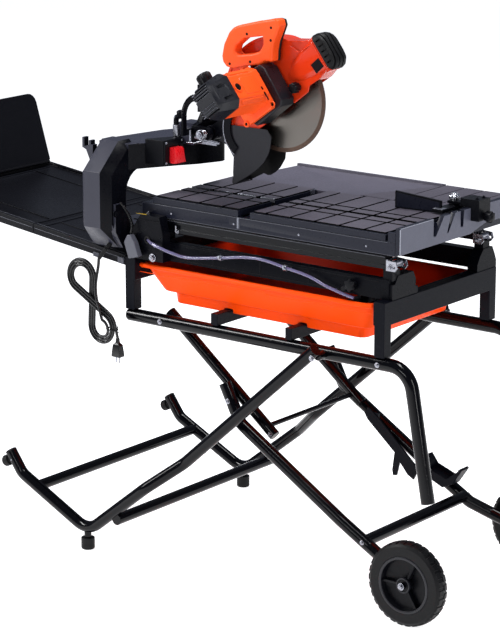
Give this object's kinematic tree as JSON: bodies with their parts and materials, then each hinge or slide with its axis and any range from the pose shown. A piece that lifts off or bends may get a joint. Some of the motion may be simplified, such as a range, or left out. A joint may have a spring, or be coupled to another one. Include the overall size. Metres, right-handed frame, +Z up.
{
  "type": "wet tile cutter on folding stand",
  "caption": "Portable overhead wet tile cutter: sliding table, pivoting motor head with guarded blade, water basin and rear tray on a folding wheeled tube stand.",
  "frame": {"origin": "centre of the footprint (without the mains cord), on the floor", "axes": "+X toward the operator's end along the cut, +Y across the cut away from the column, +Z up"},
  "size_m": [1.6574, 0.6704, 1.3313],
  "materials": {
    "gloss_black": "gloss black enamel",
    "satin_black": "satin dark grey-black coating",
    "black_plastic": "moulded black plastic",
    "black_rubber": "matt black rubber",
    "tyre_rubber": "moulded tyre rubber",
    "mat_rubber": "grey ribbed rubber",
    "orange_plastic": "orange moulded plastic",
    "basin_plastic": "bright orange moulded plastic",
    "guard_paint": "gloss red-orange paint",
    "red_plastic": "red moulded plastic",
    "blade_steel": "ground steel",
    "bright_steel": "bright plated steel",
    "black_rail": "black anodised",
    "cable_rubber": "black cable sheath",
    "grey_plastic": "grey moulded plastic",
    "clear_hose": "clear flexible tube"
  },
  "bodies": {
    "stand": {"stand_front": "gloss_black", "stand_rear": "gloss_black", "rail_near": "gloss_black", "rail_far": "gloss_black", "basin_bar_front": "satin_black", "basin_bar_rear": "satin_black", "saw_base": "satin_black", "slide_rail_near": "black_rail", "slide_rail_far": "black_rail", "arm_column": "satin_black", "switch_box": "black_plastic", "tray_front": "black_plastic", "tray_rear": "black_plastic", "cord_gland": "black_rubber", "mains_cord": "cable_rubber", "cord_hank": "cable_rubber", "plug": "cable_rubber", "lead_cable": "cable_rubber", "lead_connector": "grey_plastic", "water_hose": "clear_hose"},
    "basin_body": {"basin": "basin_plastic", "pump": "black_plastic"},
    "switch": {"switch_paddle": "red_plastic"},
    "splash": {"splash_panel": "black_plastic"},
    "table": {"table_frame": "satin_black", "mat_near_rear": "mat_rubber", "mat_near_front": "mat_rubber", "mat_far_rear": "mat_rubber", "mat_far_front": "mat_rubber", "mat_corner": "mat_rubber", "side_plate": "satin_black", "fence": "satin_black"},
    "gauge_carriage": {"gauge_clamp": "black_plastic"},
    "gauge_arm": {"gauge_head": "black_plastic"},
    "gauge_screw": {"gauge_knob": "bright_steel"},
    "clamp_screw": {"clamp_knob": "black_plastic"},
    "bevel": {"bevel_yoke": "satin_black", "splash_flap": "black_rubber"},
    "bevel_screw": {"bevel_knob": "black_plastic"},
    "head": {"gear_housing": "satin_black", "motor_housing": "orange_plastic", "motor_cap": "black_plastic", "guard": "guard_paint", "duct_cap": "black_rubber", "handle": "orange_plastic"},
    "saw_blade": {"blade": "blade_steel", "arbor_flange": "bright_steel"},
    "guard_screw": {"guard_knob": "black_plastic"},
    "foot_legs": {"foot_frame": "gloss_black", "foot_near": "black_rubber", "foot_far": "black_rubber"},
    "levers": {"lever_frame": "gloss_black"},
    "wheel_legs": {"wheel_frame": "gloss_black"},
    "wheel_near": {"tyre_near": "tyre_rubber", "rim_near": "black_plastic"},
    "wheel_far": {"tyre_far": "tyre_rubber", "rim_far": "black_plastic"},
    "latch": {"latch_lever": "satin_black"},
    "pedal": {"foot_pedal": "satin_black"},
    "base_screw": {"base_knob": "black_plastic"}
  },
  "joints": [
    {"name": "stand_fold", "type": "hinge", "parent": "stand", "child": "foot_legs", "pos_m": [0.44736, -0.00575, 0.591], "axis": [0, 1, 0], "range_deg": [0, 30]},
    {"name": "wheel_leg_fold", "type": "hinge", "parent": "foot_legs", "child": "wheel_legs", "pos_m": [0.20636, -0.00575, 0.375], "axis": [0, 1, 0], "range_deg": [0, 85.5]},
    {"name": "lever_fold", "type": "hinge", "parent": "stand", "child": "levers", "pos_m": [-0.02464, -0.00575, 0.591], "axis": [0, 1, 0], "range_deg": [-21.84, 0]},
    {"name": "wheel_near_spin", "type": "hinge", "parent": "wheel_legs", "child": "wheel_near", "pos_m": [0.72816, -0.26675, 0.1005], "axis": [0, 1, 0], "continuous": true},
    {"name": "wheel_far_spin", "type": "hinge", "parent": "wheel_legs", "child": "wheel_far", "pos_m": [0.72816, 0.25525, 0.1005], "axis": [0, 1, 0], "continuous": true},
    {"name": "latch_swing", "type": "hinge", "parent": "wheel_legs", "child": "latch", "pos_m": [0.31736, 0.18325, 0.312], "axis": [0, 1, 0], "range_deg": [0, 12], "stiffness_Nm_per_rad": 2, "springref_deg": -28.65},
    {"name": "pedal_press", "type": "hinge", "parent": "wheel_legs", "child": "pedal", "pos_m": [0.48236, 0.17025, 0.235], "axis": [0, 1, 0], "range_deg": [0, 20], "stiffness_Nm_per_rad": 3, "springref_deg": -34.38},
    {"name": "basin_slide", "type": "slide", "parent": "stand", "child": "basin_body", "axis": [0, -1, 0], "range_m": [0, 0.4]},
    {"name": "switch_rock", "type": "hinge", "parent": "stand", "child": "switch", "pos_m": [-0.05764, -0.13375, 0.997], "axis": [0, -1, 0], "range_deg": [0, 12]},
    {"name": "splash_fold", "type": "hinge", "parent": "stand", "child": "splash", "pos_m": [-0.77064, -0.00575, 0.8275], "axis": [0, 1, 0], "range_deg": [0, 108]},
    {"name": "base_screw_turn", "type": "hinge", "parent": "stand", "child": "base_screw", "pos_m": [0.52936, -0.22175, 0.76], "axis": [0, 1, 0], "continuous": true},
    {"name": "table_slide", "type": "slide", "parent": "stand", "child": "table", "axis": [-1, 0, 0], "range_m": [0, 0.58]},
    {"name": "gauge_slide", "type": "slide", "parent": "table", "child": "gauge_carriage", "axis": [0, 1, 0], "range_m": [0, 0.14]},
    {"name": "gauge_turn", "type": "hinge", "parent": "gauge_carriage", "child": "gauge_arm", "pos_m": [0.59136, 0.10425, 0.9], "axis": [0, 0, 1], "range_deg": [-22.5, 22.5]},
    {"name": "gauge_screw_turn", "type": "hinge", "parent": "gauge_arm", "child": "gauge_screw", "pos_m": [0.59136, 0.10425, 0.92], "axis": [0, 0, 1], "continuous": true},
    {"name": "clamp_screw_turn", "type": "hinge", "parent": "gauge_carriage", "child": "clamp_screw", "pos_m": [0.68736, 0.10425, 0.884], "axis": [1, 0, 0], "continuous": true},
    {"name": "bevel_tilt", "type": "hinge", "parent": "stand", "child": "bevel", "pos_m": [-0.02264, -0.06675, 0.889], "axis": [-1, 0, 0], "range_deg": [0, 45]},
    {"name": "bevel_screw_turn", "type": "hinge", "parent": "bevel", "child": "bevel_screw", "pos_m": [-0.00064, -0.04875, 1.07], "axis": [1, 0, 0], "continuous": true},
    {"name": "head_plunge", "type": "hinge", "parent": "bevel", "child": "head", "pos_m": [0.01736, -0.06675, 1.034], "axis": [0, 1, 0], "range_deg": [0, 37], "stiffness_Nm_per_rad": 40, "springref_deg": -74.48},
    {"name": "blade_spin", "type": "hinge", "parent": "head", "child": "saw_blade", "pos_m": [0.21493, -0.06675, 1.13405], "axis": [0, 1, 0], "continuous": true},
    {"name": "guard_screw_turn", "type": "hinge", "parent": "head", "child": "guard_screw", "pos_m": [0.28165, -0.10575, 1.1718], "axis": [0, 1, 0], "continuous": true}
  ],
  "couplings": [
    {"joint": "wheel_leg_fold", "follows": "stand_fold", "ratio": 2.85},
    {"joint": "lever_fold", "follows": "stand_fold", "ratio": -0.728}
  ]
}
